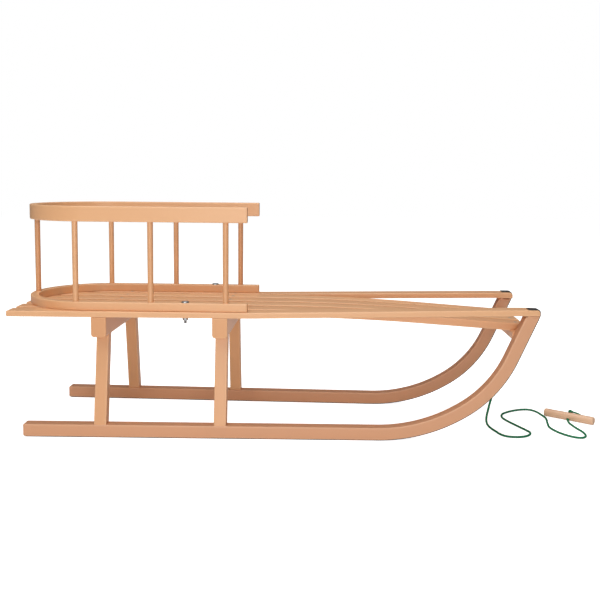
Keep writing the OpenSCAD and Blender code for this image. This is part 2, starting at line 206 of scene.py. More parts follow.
def ramp(tree, value, *stops):
    """A curve through (position, grey level) stops."""
    node = add(tree, "ValToRGB", {0: value})
    while len(node.color_ramp.elements) < len(stops):
        node.color_ramp.elements.new(0.5)
    for element, (at, level) in zip(node.color_ramp.elements, stops):
        element.position, element.color = at, (level, level, level, 1)
    return node.outputs[0]


def mix(tree, factor, a, b, blend="MIX"):
    return add(tree, "Mix", {0: factor, 6: a, 7: b}, data_type="RGBA", blend_type=blend).outputs[2]


def attribute(tree, name, output):
    return add(tree, "Attribute", attribute_name=name).outputs[output]


def srgb(r, g, b):
    """A shader colour from the 0 to 255 values that a screen shows."""
    level = [c / 255 / 12.92 if c <= 10.3 else ((c / 255 + 0.055) / 1.055) ** 2.4 for c in (r, g, b)]
    return (*level, 1)


def new_material(name, **sockets):
    """A material, its node tree, and its shader with the values that are the same all over."""
    material = bpy.data.materials.new(name)
    material.use_nodes = True
    shader = material.node_tree.nodes["Principled BSDF"]
    for key, value in sockets.items():
        shader.inputs[key.replace("_", " ").title()].default_value = value
    return material, material.node_tree, shader


def bump(tree, shader, height, strength, distance):
    made = add(tree, "Bump", {"Height": height, "Strength": strength, "Distance": distance * MM})
    tree.links.new(made.outputs[0], shader.inputs["Normal"])


def beech(name, light, dark, fleck, end, gloss):
    """Beech with its growth rings, fibres and the short dark flecks of its rays.
    The grain attribute holds millimetres along the grain, across it, and out from the pith."""
    material, tree, shader = new_material(name, Coat_weight=gloss, Coat_roughness=0.22)
    log = attribute(tree, "grain", 1)
    drift = noise(tree, log, (0.0045, 0.03, 0.03), 2)
    wander = calc(tree, "MULTIPLY", calc(tree, "SUBTRACT", drift, 0.5), 16)
    split = add(tree, "SeparateXYZ", {0: log})
    across, out = calc(tree, "ADD", split.outputs[1], wander), calc(tree, "ADD", split.outputs[2], wander)
    radius = calc(tree, "SQRT", calc(tree, "ADD", calc(tree, "MULTIPLY", across, across),
                                     calc(tree, "MULTIPLY", out, out)))
    uneven = calc(tree, "MULTIPLY", noise(tree, log, (0.001, 0.12, 0.12), 1), 2.2)
    turn = calc(tree, "FRACT", calc(tree, "ADD", calc(tree, "DIVIDE", radius, 3.4), uneven))
    rings = ramp(tree, turn, (0.0, 0.25), (0.15, 0.0), (0.7, 0.35), (0.92, 1.0), (1.0, 0.25))
    fibre = noise(tree, log, (0.035, 1.5, 1.5), 5, 0.62)
    fine = noise(tree, log, (0.16, 6.0, 6.0), 2, 0.6)
    tone = noise(tree, log, (0.0028, 0.035, 0.035), 2)
    bent = add(tree, "CombineXYZ", {0: split.outputs[0], 1: across, 2: out}).outputs[0]
    rays = ramp(tree, noise(tree, bent, (0.42, 1.5, 0.06), 1.5, 0.55), (0.60, 0.0), (0.70, 1.0))
    pores = ramp(tree, noise(tree, log, (0.5, 3.4, 3.4), 1), (0.62, 0.0), (0.74, 1.0))
    shade = calc(tree, "ADD", calc(tree, "MULTIPLY", rings, 0.62), calc(tree, "MULTIPLY", fibre, 1.7))
    shade = calc(tree, "ADD", shade, calc(tree, "MULTIPLY", tone, 1.1))
    shade = calc(tree, "ADD", shade, calc(tree, "MULTIPLY", attribute(tree, "tone", 2), 0.32))
    shade = calc(tree, "SUBTRACT", shade, 1.12, clamp=True)
    colour = mix(tree, shade, light, dark)
    colour = mix(tree, calc(tree, "MULTIPLY", rays, 0.6), colour, fleck)
    colour = mix(tree, calc(tree, "MULTIPLY", pores, 0.16), colour, fleck)
    cut_end = attribute(tree, "end", 2)
    colour = mix(tree, calc(tree, "MULTIPLY", cut_end, 0.62), colour, end)
    # Painted highlight: near the long edges the colour is mixed towards a pale tone, standing in for the
    # light that the rounded edges catch
    edge = calc(tree, "MULTIPLY", attribute(tree, "edge", 2), ramp(tree, fibre, (0.4, 0.25), (0.6, 1.0)))
    colour = mix(tree, calc(tree, "MULTIPLY", edge, 0.28), colour, srgb(250, 222, 186))
    tree.links.new(colour, shader.inputs["Base Color"])
    rough = calc(tree, "ADD", 0.36, calc(tree, "MULTIPLY", fibre, 0.16))
    rough = calc(tree, "ADD", rough, calc(tree, "MULTIPLY", cut_end, 0.18))
    rough = calc(tree, "ADD", rough, calc(tree, "MULTIPLY", edge, 0.08))
    tree.links.new(rough, shader.inputs["Roughness"])
    height = calc(tree, "SUBTRACT", calc(tree, "MULTIPLY", fine, 0.35), calc(tree, "MULTIPLY", rays, 0.25))
    height = calc(tree, "ADD", height, calc(tree, "MULTIPLY", fibre, 0.5))
    bump(tree, shader, calc(tree, "SUBTRACT", height, calc(tree, "MULTIPLY", pores, 0.3)), 0.35, 0.12)
    return material


def rolled_steel():
    """Dark rolled strip, rubbed bright along its edges and where it slides."""
    material, tree, shader = new_material("rolled_steel", Metallic=0.7)
    along = attribute(tree, "grain", 1)
    mill = noise(tree, along, (0.02, 0.9, 0.9), 4, 0.65)
    scratch = ramp(tree, noise(tree, along, (0.03, 5.0, 5.0), 2), (0.55, 0.0), (0.7, 1.0))
    blotch = noise(tree, along, (0.03, 0.1, 0.1), 3)
    colour = mix(tree, blotch, srgb(26, 26, 29), srgb(50, 49, 50))
    colour = mix(tree, calc(tree, "MULTIPLY", scratch, 0.35), colour, srgb(92, 90, 89))
    edge = calc(tree, "MULTIPLY", attribute(tree, "edge", 2), ramp(tree, mill, (0.4, 0.0), (0.6, 1.0)))
    colour = mix(tree, calc(tree, "MULTIPLY", edge, 0.55), colour, srgb(120, 118, 116))
    tree.links.new(colour, shader.inputs["Base Color"])
    tree.links.new(calc(tree, "ADD", 0.26, calc(tree, "MULTIPLY", mill, 0.32)), shader.inputs["Roughness"])
    bump(tree, shader, calc(tree, "SUBTRACT", mill, calc(tree, "MULTIPLY", scratch, 0.4)), 0.25, 0.05)
    return material


def zinc():
    """Bright zinc plate with its fine spangle and duller patches."""
    material, tree, shader = new_material("zinc", Metallic=1.0)
    place = add(tree, "TexCoord").outputs["Object"]
    grid = stretched(tree, place, (1400, 1400, 1400))
    spangle = add(tree, "TexVoronoi", {"Vector": grid, "Scale": 1.0})
    cloud = noise(tree, place, (300, 300, 300), 3)
    colour = mix(tree, cloud, srgb(205, 207, 208), srgb(150, 152, 156))
    facet = calc(tree, "MULTIPLY", spangle.outputs["Distance"], 0.3)
    colour = mix(tree, facet, colour, srgb(120, 122, 128))
    tree.links.new(colour, shader.inputs["Base Color"])
    tree.links.new(calc(tree, "ADD", 0.18, calc(tree, "MULTIPLY", cloud, 0.3)), shader.inputs["Roughness"])
    bump(tree, shader, noise(tree, place, (2500, 2500, 2500), 2), 0.15, 0.03)
    return material


def braid_yarn():
    """Green braided cord, with painted shade darkening the grooves between strands and a painted highlight
    lightening the crowns.
    """
    material, tree, shader = new_material(
        "braid_yarn", Sheen_weight=0.25, Sheen_roughness=0.4, Sheen_tint=srgb(90, 190, 140))
    place = attribute(tree, "grain", 1)
    crown = attribute(tree, "crown", 2)
    yarn = noise(tree, place, (1.2, 7.0, 7.0), 3, 0.6)
    faded = noise(tree, place, (0.02, 0.05, 0.05), 2)
    # Painted shade and highlight: the green is mixed darker in the grooves and lighter on the crowns of the
    # strands
    colour = mix(tree, ramp(tree, crown, (0.1, 0.0), (0.9, 1.0)), srgb(0, 66, 40), srgb(6, 138, 88))
    colour = mix(tree, calc(tree, "MULTIPLY", yarn, 0.5), colour, srgb(18, 150, 98))
    colour = mix(tree, calc(tree, "MULTIPLY", faded, 0.35), colour, srgb(0, 70, 44))
    tree.links.new(colour, shader.inputs["Base Color"])
    tree.links.new(calc(tree, "ADD", 0.45, calc(tree, "MULTIPLY", yarn, 0.3)), shader.inputs["Roughness"])
    bump(tree, shader, yarn, 0.5, 0.15)
    return material


BEECH = beech("beech", light=srgb(248, 196, 146), dark=srgb(200, 128, 80), fleck=srgb(166, 100, 60),
              end=srgb(222, 160, 112), gloss=0.22)
BENT = beech("bent_beech", light=srgb(232, 176, 134), dark=srgb(182, 116, 80), fleck=srgb(150, 90, 58),
             end=srgb(205, 142, 100), gloss=0.25)
TURNED = beech("turned_beech", light=srgb(240, 203, 170), dark=srgb(220, 172, 136),
               fleck=srgb(178, 122, 88), end=srgb(236, 200, 170), gloss=0.08)
STEEL = rolled_steel()
ZINC = zinc()
YARN = braid_yarn()

# ------------------------------------------------------------------ mesh helpers

CORNER_STEPS = 3


def mesh_object(name, verts, faces, material):
    mesh = bpy.data.meshes.new(name)
    mesh.from_pydata([Vector(v) * MM for v in verts], [], faces)
    work = bmesh.new()
    work.from_mesh(mesh)
    bmesh.ops.recalc_face_normals(work, faces=work.faces)
    work.to_mesh(mesh)
    work.free()
    mesh.shade_smooth()
    mesh.materials.append(material)
    thing = bpy.data.objects.new(name, mesh)
    bpy.context.scene.collection.objects.link(thing)
    return thing


def rounded(w, h, radii, support=2.2):
    """A rectangle's outline with rounded corners, each side given two more points near its corners."""
    arcs = []
    for (sx, sy, start), r in zip(((-1, -1, 180), (1, -1, 270), (1, 1, 0), (-1, 1, 90)), radii):
        r = min(r, 0.4 * w, 0.4 * h)
        for k in range(CORNER_STEPS + 1):
            a = math.radians(start + 90 * k / CORNER_STEPS)
            arcs.append((sx * (w / 2 - r) + r * math.cos(a), sy * (h / 2 - r) + r * math.sin(a)))
    points = []
    per = CORNER_STEPS + 1
    for i in range(4):
        corner, after = arcs[i * per:(i + 1) * per], arcs[(i + 1) % 4 * per]
        points += corner
        side = math.dist(corner[-1], after)
        for t in (min(support / side, 0.3), max(1 - support / side, 0.7)):
            points.append(tuple(a + (b - a) * t for a, b in zip(corner[-1], after)))
    return points


def skin(rings):
    """Faces that join equal rings one after the other, with a face over each end."""
    n = len(rings[0])
    faces = [(i * n + k, i * n + (k + 1) % n, (i + 1) * n + (k + 1) % n, (i + 1) * n + k)
             for i in range(len(rings) - 1) for k in range(n)]
    faces += [tuple(range(n))[::-1], tuple(range((len(rings) - 1) * n, len(rings) * n))]
    return [p for r in rings for p in r], faces


def ring_of(centre, across, up, w, h, radii):
    return [centre + across * x + up * y for x, y in rounded(w, h, radii)]


def bar(name, path, w, h, radii, ends, material):
    """A bar with softened edges along path, a list of (centre, across, up), its two ends rounded."""
    rings = []
    start = (path[1][0] - path[0][0]).normalized()
    finish = (path[-2][0] - path[-1][0]).normalized()
    for (centre, across, up), inward, r in ((path[0], start, ends[0]), (path[-1], finish, ends[1])):
        cap = []
        for k in range(CORNER_STEPS + 1):
            a = math.pi / 2 * k / CORNER_STEPS
            inset, back = r * (1 - math.sin(a)), r * (1 - math.cos(a))
            cap.append(ring_of(centre + inward * back, across, up, w - 2 * inset, h - 2 * inset,
                               [max(c - inset, 0.3) for c in radii]))
        rings.append(cap)
    between = [ring_of(c, a, u, w, h, radii) for c, a, u in path[1:-1]]
    return mesh_object(name, *skin(rings[0] + between + rings[1][::-1]), material)


def turned(name, foot, axis, profile, sides, material, radius=None):
    """A turned piece: profile is a list of (height, radius) from foot along axis.
    radius(angle, height, r) may change the radius, as for a nut's flats."""
    axis = axis.normalized()
    u = axis.orthogonal().normalized()
    v = axis.cross(u)
    rings = []
    for z, r in profile:
        ring = []
        for k in range(sides):
            a = 2 * math.pi * k / sides
            here = radius(a, z, r) if radius else r
            ring.append(foot + axis * z + (u * math.cos(a) + v * math.sin(a)) * here)
        rings.append(ring)
    return mesh_object(name, *skin(rings), material)


def joined(name, things):
    """One object from several, all with the same material."""
    mesh = bpy.data.meshes.new(name)
    work = bmesh.new()
    for thing in things:
        thing.data.transform(thing.matrix_basis)
        work.from_mesh(thing.data)
    work.to_mesh(mesh)
    work.free()
    mesh.shade_smooth()
    mesh.materials.append(things[0].data.materials[0])
    for thing in things:
        bpy.data.objects.remove(thing)
    made = bpy.data.objects.new(name, mesh)
    bpy.context.scene.collection.objects.link(made)
    return made


def applied(thing, kind, **settings):
    """Runs one modifier and keeps its result as the object's mesh."""
    modifier = thing.modifiers.new(kind.lower(), kind)
    for key, value in settings.items():
        setattr(modifier, key, value)
    bpy.context.view_layer.update()
    whole = thing.evaluated_get(bpy.context.evaluated_depsgraph_get())
    mesh = bpy.data.meshes.new_from_object(whole)
    thing.modifiers.clear()
    thing.data = mesh
    return thing


def cut(thing, cutters):
    """Takes the cutters out of a piece."""
    cutter = joined("cutter", cutters)
    applied(thing, "BOOLEAN", object=cutter, operation="DIFFERENCE", solver="EXACT", use_self=True)
    bpy.data.objects.remove(cutter)
    thing.data.shade_smooth()
    while len(thing.data.materials) > 1:
        thing.data.materials.pop()
    return thing


def countersink(at, axis, head, d, sink, material):
    """The hole that a flush screw head sits in, a hair wider than the head."""
    profile = [(-14, d / 2), (-sink - 0.3, d / 2), (0.15, head / 2 + 0.25), (3, head / 2 + 0.25)]
    return turned("hole", at, axis, profile, 24, material)


def dress(thing, locate, w, h, seed, tone=0.0):
    """Stores on every point of a piece its place along the grain and in the log, and how near it is
    to a long edge; and on every face whether the grain ends there.
    locate gives the place along the piece, across it and up it."""
    rng = random.Random(seed)
    turn, pith, shift = rng.uniform(0, math.pi), rng.uniform(35, 95), rng.uniform(0, 4000)
    tone += rng.uniform(-0.5, 0.5)
    mesh = thing.data
    places = [locate(v.co / MM) for v in mesh.vertices]
    grain = mesh.attributes.new("grain", "FLOAT_VECTOR", "POINT")
    edge = mesh.attributes.new("edge", "FLOAT", "POINT")
    tint = mesh.attributes.new("tone", "FLOAT", "POINT")
    for i, (s, x, y) in enumerate(places):
        grain.data[i].vector = (s + shift, x * math.cos(turn) - y * math.sin(turn),
                                x * math.sin(turn) + y * math.cos(turn) + pith)
        near = (w / 2 - abs(x)) + (h / 2 - abs(y))
        edge.data[i].value = max(0.0, min(1.0, 1.6 - near / 1.5))
        tint.data[i].value = tone
    cut_end = mesh.attributes.new("end", "FLOAT", "FACE")
    for face in mesh.polygons:
        along = [places[i][0] for i in face.vertices]
        cut_end.data[face.index].value = float(max(along) - min(along) < 0.05)
    thing.modifiers.new("even_normals", "WEIGHTED_NORMAL").keep_sharp = True
    return thing


def place(thing, slot, *nodes):
    """Rides on the sledge and stands for its CAD nodes, which it hides. The slot is not used."""
    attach(thing, "root")
    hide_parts(*nodes)
    return thing


# ------------------------------------------------------------------ rope

ROPE_D = 5
ROPE_R = ROPE_D / 2
STRANDS = 6
BRAID_PITCH = 26
GROOVE = 0.42
HANDLE_L, HANDLE_D, BORE_D = 114, 18, 7
HANDLE_YAW, HANDLE_TILT = math.radians(-36.8), math.radians(37)
handle_centre = Vector((663, 20.5, HANDLE_D / 2))
HANDLE_AXIS = Vector((math.cos(HANDLE_YAW), math.sin(HANDLE_YAW), 0))
HANDLE_SIDE = Vector((-math.sin(HANDLE_YAW), math.cos(HANDLE_YAW), 0))
BORE_AXIS = HANDLE_SIDE * math.cos(HANDLE_TILT) + Vector((0, 0, math.sin(HANDLE_TILT)))
KNOT_SEAT = HANDLE_D / 2 - 1
FLOOR = ROPE_R
ROUTE = [Vector(p) for p in (
    (516, -92, 216), (516, -92, 206), (515, -93, 194), (510, -95, 178), (501, -98, 158),
    (485, -101, 132), (472, -101, 108), (463, -97, 78), (458, -91, 50), (457, -83, 33),
    (460, -73.5, 19), (466, -68, 9.5), (473.5, -70.5, 4),
    (479, -81, FLOOR), (484, -98, FLOOR), (494, -112, FLOOR), (512, -117, FLOOR),
    (531, -113, FLOOR), (545, -101, FLOOR), (551, -84, FLOOR), (545, -64, FLOOR),
    (531, -30, FLOOR), (518, 5, FLOOR), (514, 30, FLOOR), (521, 54, FLOOR),
    (541, 75, FLOOR), (568, 91, FLOOR), (590, 93, FLOOR), (603, 78, FLOOR),
    (609, 54, FLOOR), (612.5, 25, FLOOR), (607, -10, FLOOR), (603, -42, FLOOR),
    (610, -72, FLOOR), (624, -97, FLOOR), (641, -112, FLOOR), (656, -112, FLOOR),
    (665, -98, FLOOR), (666, -74, FLOOR), (660, -44, FLOOR), (656, -14, FLOOR),
    (656.8, 3, FLOOR), (658.2, 12.6, 3.4))]
ROUTE += [handle_centre + BORE_AXIS * d for d in (-4.4, 2, KNOT_SEAT)]


def smooth_line(route, step):
    """A smooth curve through the route's points, in steps of about that length."""
    points = [2 * route[0] - route[1], *route, route[-1] + (route[-1] - route[-2]).normalized() * ROPE_D]
    line = []
    for p0, p1, p2, p3 in zip(points, points[1:], points[2:], points[3:]):
        n = max(1, round((p2 - p1).length / step))
        for k in range(n):
            t = k / n
            line.append(0.5 * (2 * p1 + (p2 - p0) * t + (2 * p0 - 5 * p1 + 4 * p2 - p3) * t * t
                               + (3 * p1 - p0 - 3 * p2 + p3) * t * t * t))
    return line + [route[-1]]


def braid_height(a, s):
    """Height of the braid's surface, 0 in a groove to 1 on a crown, at an angle and a place along it."""
    one = STRANDS * (a / (2 * math.pi) + s / BRAID_PITCH)
    two = STRANDS * (a / (2 * math.pi) - s / BRAID_PITCH)
    if (math.floor(one) + math.floor(two)) % 2:
        one, two = two, one
    return math.sin(math.pi * (one % 1)) ** 0.7 * (0.55 + 0.45 * math.sin(math.pi * (two % 1)))


def braided(name, line, r, sides=20, taper=0.0):
    """A braided tube along a line. Its last stretch narrows where taper is set."""
    rings, crowns, places = [], [], []
    ahead = (line[1] - line[0]).normalized()
    u = ahead.orthogonal().normalized()
    s, whole = 0.0, sum((b - a).length for a, b in zip(line, line[1:]))
    for i, p in enumerate(line):
        ahead = (line[min(i + 1, len(line) - 1)] - line[max(i - 1, 0)]).normalized()
        u = (u - ahead * u.dot(ahead)).normalized()
        v = ahead.cross(u)
        s += (p - line[i - 1]).length if i else 0
        thin = 1 - 0.45 * max(0.0, 1 - (whole - s) / taper) if taper else 1
        ring = []
        for k in range(sides):
            a = 2 * math.pi * k / sides
            crown = braid_height(a, s)
            ring.append(p + (u * math.cos(a) + v * math.sin(a)) * (r * thin - GROOVE * (1 - crown)))
            crowns.append(crown)
            places.append((s, r * math.cos(a), r * math.sin(a)))
        rings.append(ring)
    thing = mesh_object(name, *skin(rings), YARN)
    made = thing.data.attributes.new("crown", "FLOAT", "POINT")
    made.data.foreach_set("value", crowns)
    made = thing.data.attributes.new("grain", "FLOAT_VECTOR", "POINT")
    made.data.foreach_set("vector", [c for p in places for c in p])
    return thing


rope_line = smooth_line(ROUTE, 0.7)
rope_length = sum((b - a).length for a, b in zip(rope_line, rope_line[1:]))
pull_rope = braided("pull_rope_braid", rope_line, ROPE_R)
place(pull_rope, "rope", "pull_rope")


def knot_line(centre, axis, size):
    """A closed overhand knot round an axis, drawn tight."""
    u = axis.orthogonal().normalized()
    v = axis.cross(u)
    line = []
    for k in range(121):
        a = 2 * math.pi * k / 120
        r = size * (0.56 + 0.36 * math.cos(3 * a))
        round_axis = (u * math.cos(2 * a) + v * math.sin(2 * a)) * r
        line.append(centre + round_axis + axis * size * 0.42 * math.sin(3 * a))
    return line


STOPPER_UP = KNOT_SEAT + 5.6
LOOP_SIZE, LOOP_R, TAIL_R = 4.4, 2.1, 1.9
stopper_centre = handle_centre + BORE_AXIS * STOPPER_UP
tail_way = (HANDLE_AXIS * 0.93 + HANDLE_SIDE * 0.12 + Vector((0, 0, 0.05))).normalized()
tail = smooth_line([stopper_centre, stopper_centre + tail_way * 9 + Vector((0, 0, -0.6)),
                    stopper_centre + tail_way * 17 + Vector((0, 0, -2.8)),
                    stopper_centre + tail_way * 22 + Vector((0, 0, -3.4))], 0.7)
stopper = joined("stopper_knot", [braided("loops", knot_line(stopper_centre, BORE_AXIS, LOOP_SIZE), LOOP_R),
                                  braided("tail", tail, TAIL_R, taper=6)])
place(stopper, "rope", "rope_knot")

# The knot that holds the rope in its seat in the nose bar, under a slat
KNOT_UP, HITCH_SIZE = 4, 4.3
hitch_start = ROUTE[0]
hitch_loops = knot_line(hitch_start + Vector((0, 0, KNOT_UP)), Vector((0, 0, 1)), HITCH_SIZE)
hitch = braided("nose_hitch", hitch_loops, LOOP_R)
place(hitch, "rope", "rope_hitch")

# ------------------------------------------------------------------ handle

body = [(0, 6.4), (0.5, 7.6), (1.4, 8.5), (2.6, 8.95), (4, 9), (HANDLE_L * 0.3, 8.97), (HANDLE_L / 2, 9),
        (HANDLE_L * 0.72, 8.96), (HANDLE_L - 4, 9), (HANDLE_L - 2.6, 8.95), (HANDLE_L - 1.4, 8.5),
        (HANDLE_L - 0.5, 7.6), (HANDLE_L, 6.4)]
handle_foot = handle_centre - HANDLE_AXIS * HANDLE_L / 2
pull_handle = turned("turned_handle", handle_foot, HANDLE_AXIS, body, 48, TURNED)
mouth = [(-2 * HANDLE_D, BORE_D / 2 + 20), (-HANDLE_D / 2 - 0.6, BORE_D / 2 + 1.4),
         (-HANDLE_D / 2 + 1, BORE_D / 2), (HANDLE_D / 2 - 1, BORE_D / 2),
         (HANDLE_D / 2 + 0.6, BORE_D / 2 + 1.4), (2 * HANDLE_D, BORE_D / 2 + 20)]
cut(pull_handle, [turned("bore", handle_centre, BORE_AXIS, mouth, 32, TURNED)])
dress(pull_handle, lambda p: ((p - handle_foot).dot(HANDLE_AXIS), (p - handle_foot).dot(HANDLE_SIDE),
                              p.z - handle_centre.z), 60, 60, 71)
place(pull_handle, "handle", "pull_handle")

# ------------------------------------------------------------------ runners and their shoes

RUNNER_MID = SHOE_T + RUNNER_T / 2
EDGE_R = 1.8


def side_bend(side, depth, start, stop, step=9):
    """Path of a bar whose middle runs at that depth inside the runner's outer edge."""
    n = max(2, round((stop - start) / step))
    path = []
    for k in range(n + 1):
        x, z, a = runner_edge(start + (stop - start) * k / n)
        across = on_side(side, 0, 1, 0) - on_side(side, 0, 0, 0)
        along_x, along_z = x - depth * math.sin(a), z + depth * math.cos(a)
        up = on_side(side, -math.sin(a), 0, math.cos(a)) - on_side(side, 0, 0, 0)
        path.append((on_side(side, along_x, RUNNER_W / 2, along_z), across, up))
    return path


def runner_locate(side, depth):
    def locate(p):
        x, inset, z = off_side(side, p)
        s, deep = off_runner_edge(x, z)
        return s, inset - RUNNER_W / 2, deep - depth
    return locate


def flat_top(thing, z):
    """Cuts a piece level at z and closes it."""
    work = bmesh.new()
    work.from_mesh(thing.data)
    bmesh.ops.bisect_plane(work, geom=work.verts[:] + work.edges[:] + work.faces[:],
                           plane_co=(0, 0, z * MM), plane_no=(0, 0, 1), clear_outer=True)
    bmesh.ops.holes_fill(work, edges=[e for e in work.edges if e.is_boundary])
    work.to_mesh(thing.data)
    work.free()
    thing.data.shade_smooth()


SHOE_SCREW_FLAT = (60, 220, 380, 540, 700)
SHOE_SCREW_BEND = (18, 48)
SHOE_HEAD, SHOE_SCREW_D, SHOE_SINK = 7, 3.5, 1.7
TIP_SCREW_BACK = 14
FOLD_R, FOLD_RUN = 5, 23
# The straight tip is made longer than it is and then cut level at the slat's underside
TIP_RUN = 130
tip_s = BEND_X + BEND_R1 * BEND_A1 + BEND_R2 * (BEND_A2 - BEND_A1) + TIP_RUN

for word, side in SIDES.items():
    runner = bar("bent_runner_" + word, side_bend(side, RUNNER_MID, RUNNER_START, tip_s),
                 RUNNER_W, RUNNER_T, [EDGE_R] * 4, (2.5, 0.5), BENT)
    flat_top(runner, TIP_UNDER)
    dress(runner, runner_locate(side, RUNNER_MID), RUNNER_W, RUNNER_T, 11 + side, 0.25)
    place(runner, "bent_beech", "runner_" + word)


def shoe_path(side):
    """Middle of the strip: along the runner's edge, up the front of the slat, and back over its tip."""
    half = SHOE_T / 2
    line = []
    s = RUNNER_START + 4
    while True:
        x, z, a = runner_edge(s)
        x, z = x - half * math.sin(a), z + half * math.cos(a)
        if x > TIP_X + half:
            break
        line.append((x, z, a))
        s += 9 if s < BEND_X - 20 or s > BEND_X + 400 else 7
    bottom = TIP_TOP - FOLD_R
    line = [p for p in line if p[1] < bottom - 1]
    line.append((TIP_X + half, max(line[-1][1] + 4, TIP_UNDER + 1), math.pi / 2))
    line.append((TIP_X + half, bottom, math.pi / 2))
    r = FOLD_R + half
    for k in range(1, 7):
        a = math.pi / 2 * k / 6
        line.append((TIP_X - FOLD_R + r * math.cos(a), bottom + r * math.sin(a), math.pi / 2 + a))
    line.append((TIP_X - FOLD_RUN, TIP_TOP + half, math.pi))
    zero = on_side(side, 0, 0, 0)
    across = on_side(side, 0, 1, 0) - zero
    return [(on_side(side, x, RUNNER_W / 2, z), across, on_side(side, -math.sin(a), 0, math.cos(a)) - zero)
            for x, z, a in line]


def shoe_spots(side):
    """Place and outward direction of each screw in a shoe: the flat, the bend and the folded tip."""
    spots = [(x, 0, 0.0) for x in SHOE_SCREW_FLAT]
    for a in (math.radians(d) for d in SHOE_SCREW_BEND):
        quick = a > BEND_A1
        r = BEND_R2 if quick else BEND_R1
        spots.append((BEND_X + (QUICK_X if quick else 0) + r * math.sin(a),
                      (QUICK_Z if quick else BEND_R1) - r * math.cos(a), a))
    spots.append((TIP_X - TIP_SCREW_BACK, TIP_TOP + SHOE_T, math.pi))
    zero = on_side(side, 0, 0, 0)
    return [(on_side(side, x, RUNNER_W / 2, z), on_side(side, math.sin(a), 0, -math.cos(a)) - zero)
            for x, z, a in spots]


for word, side in SIDES.items():
    path = shoe_path(side)
    shoe = bar("steel_shoe_" + word, path, SHOE_W, SHOE_T, [0.5] * 4, (0.5, 0.5), STEEL)
    cut(shoe, [countersink(*spot, SHOE_HEAD, SHOE_SCREW_D, SHOE_SINK, STEEL) for spot in shoe_spots(side)])
    dress(shoe, runner_locate(side, SHOE_T / 2), SHOE_W, 8, 21 + side)
    place(shoe, "steel_shoe", "runner_shoe_" + word)

# ------------------------------------------------------------------ legs, beams and nose bar

REAR_X, FRONT_BEAM_X = middle("rear_crossbeam").x, middle("front_crossbeam").x
LEG_X, LEG_Y = 26, 23
LEG_LEAN = math.radians(9.5)
FOOT_INSET = 2
# A leaning leg runs this far into the runner and the beam, so that its square ends stay hidden
LEG_SUNK = 3.5
BEAM_X, BEAM_Z = 32, 42
BEAM_EDGES = [6, 6, 1.5, 1.5]
BEAM_UNDER = SEAT_UNDER - BEAM_Z
RUNNER_TOP = SHOE_T + RUNNER_T

for i, node in enumerate(("rear_leg_left", "rear_leg_right", "front_leg_left", "front_leg_right")):
    side = SIDES[node.split("_")[-1]]
    x = middle(node).x
    foot = Vector((x, side * (outer_y(x) - FOOT_INSET - LEG_Y / 2), RUNNER_TOP))
    lean = Vector((0, -side * math.sin(LEG_LEAN), math.cos(LEG_LEAN)))
    across = Vector((1, 0, 0))
    through = lean.cross(across)
    rise = (BEAM_UNDER - RUNNER_TOP) / math.cos(LEG_LEAN)
    path = [(foot + lean * t, across, through) for t in (-LEG_SUNK, rise + LEG_SUNK)]
    leg = bar("beech_" + node, path, LEG_X, LEG_Y, [1.6] * 4, (0.5, 0.5), BEECH)
    dress(leg, lambda p, f=foot, l=lean, t=through: ((p - f).dot(l), (p - f).x, (p - f).dot(t)),
          LEG_X, LEG_Y, 31 + i)
    place(leg, "beech", node)

def slat_line(i, x):
    """Middle line of slat i, 0 to 5 from left to right."""
    if i in (0, 5):
        return (outer_y(x) - SLAT_W / 2) * (1 if i == 0 else -1)
    y = (2.5 - i) * SLAT_PITCH
    return y - y * TOE_IN / LENGTH / HALF_WIDTH * (x - REAR_X)


def slat_notch(i, x):
    """The notch that inner slat i is let into at a beam."""
    half = BEAM_X / 2 + 1
    rings = [[Vector((x + sx * half, slat_line(i, x) + y, z)) for sx, z in
              ((-1, SEAT_TOP - INNER_T), (1, SEAT_TOP - INNER_T), (1, SEAT_TOP), (-1, SEAT_TOP))]
             for y in (-SLAT_W / 2, SLAT_W / 2)]
    return mesh_object("notch", *skin(rings), BEECH)


for i, node in enumerate(("rear_crossbeam", "front_crossbeam")):
    x, half = middle(node).x, high(node).y
    mid = Vector((x, 0, SEAT_UNDER - BEAM_Z / 2))
    path = [(mid + Vector((0, y, 0)), Vector((1, 0, 0)), Vector((0, 0, 1))) for y in (-half, half)]
    beam = bar("beech_" + node, path, BEAM_X, BEAM_Z, BEAM_EDGES, (2.5, 2.5), BEECH)
    cut(beam, [slat_notch(k, x) for k in range(1, 5)])
    dress(beam, lambda p, m=mid: (p.y, (p - m).x, (p - m).z), BEAM_X, BEAM_Z, 41 + i, 0.1)
    place(beam, "beech", node)

NOSE_EDGE, NOSE_H, NOSE_SUNK = 4, 19, 4
NOSE_BORE, NOSE_SEAT_D = 7, 14
nose_low, nose_high = low("nose_bar"), high("nose_bar")
nose_mid = Vector(((nose_low.x + nose_high.x) / 2, 0, nose_low.z + NOSE_H / 2))
nose_w = nose_high.x - nose_low.x
nose_half = outer_y(nose_mid.x) - RUNNER_W + NOSE_SUNK
path = [(nose_mid + Vector((0, y, 0)), Vector((1, 0, 0)), Vector((0, 0, 1)))
        for y in (-nose_half, nose_half)]
nose = bar("beech_nose_bar", path, nose_w, NOSE_H, [NOSE_EDGE] * 4, (1, 1), BEECH)
rope_hole = [(-2 * NOSE_H, NOSE_BORE / 2), (0, NOSE_BORE / 2),
             (0, NOSE_SEAT_D / 2), (NOSE_H, NOSE_SEAT_D / 2)]
cut(nose, [turned("hole", hitch_start, Vector((0, 0, 1)), rope_hole, 32, BEECH)])
dress(nose, lambda p: (p.y, p.x - nose_mid.x, p.z - nose_mid.z), nose_w, NOSE_H, 45, 0.2)
place(nose, "beech", "nose_bar")

# ------------------------------------------------------------------ slats

SLAT_EDGES = [1.2, 1.2, 1.8, 1.8]
BACK_END, NOSE_END = 2.8, 3.5
ARM_X = high("backrest_bottom_rail").x
RISE_X = (ARM_X - SIDE_X) / math.cos(TOE)
LEVEL_X = TIP_X - FOLD_RUN - 20
